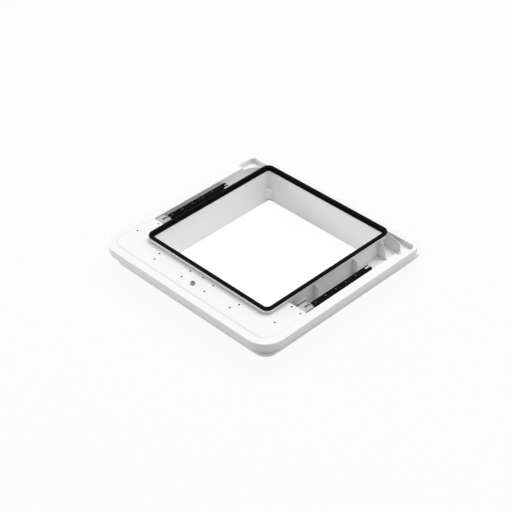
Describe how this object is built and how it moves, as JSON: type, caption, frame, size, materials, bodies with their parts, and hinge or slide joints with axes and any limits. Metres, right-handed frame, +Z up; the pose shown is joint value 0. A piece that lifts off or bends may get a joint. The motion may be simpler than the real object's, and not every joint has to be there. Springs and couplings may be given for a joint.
{
  "type": "caravan roof vent frame",
  "caption": "Square caravan roof vent frame with a rubber-sealed neck, front crank platform, hinge knuckles at the back and swinging channel arms that lift the lid.",
  "frame": {"origin": "centre of the square roof cut-out, on the roof plane that the flange stands on", "axes": "+Z up out of the roof, +Y towards the hinge side, +X along the front edge"},
  "size_m": [0.552, 0.543, 0.0987],
  "materials": {
    "white_plastic": "satin white weatherproof moulding",
    "seal_rubber": "matt black",
    "black_plastic": "satin black moulding",
    "ivory_plastic": "satin ivory bearing plastic",
    "grey_bearing": "satin blue-grey bearing plastic",
    "steel": "bright stainless"
  },
  "bodies": {
    "frame": {"roof_frame": "white_plastic", "seal_carrier": "white_plastic", "neck_seal": "seal_rubber", "left_arm_bracket": "ivory_plastic", "right_arm_bracket": "ivory_plastic", "left_pivot_pin": "steel", "right_pivot_pin": "steel", "left_pivot_clip": "steel", "right_pivot_clip": "steel", "left_bracket_screws": "steel", "right_bracket_screws": "steel", "left_hinge_knuckle": "white_plastic", "right_hinge_knuckle": "white_plastic", "left_hinge_screws": "steel", "right_hinge_screws": "steel", "drive_bush": "grey_bearing"},
    "left_arm": {"left_lift_arm": "black_plastic", "left_arm_core": "ivory_plastic", "left_arm_bush": "grey_bearing"},
    "right_arm": {"right_lift_arm": "black_plastic", "right_arm_core": "ivory_plastic", "right_arm_bush": "grey_bearing"}
  },
  "joints": [
    {"name": "left_arm_lift", "type": "hinge", "parent": "frame", "child": "left_arm", "pos_m": [-0.23475, -0.109, 0.0415], "axis": [1, 0, 0], "range_deg": [0, 70]},
    {"name": "right_arm_lift", "type": "hinge", "parent": "frame", "child": "right_arm", "pos_m": [0.23475, -0.109, 0.0415], "axis": [1, 0, 0], "range_deg": [0, 70]}
  ]
}
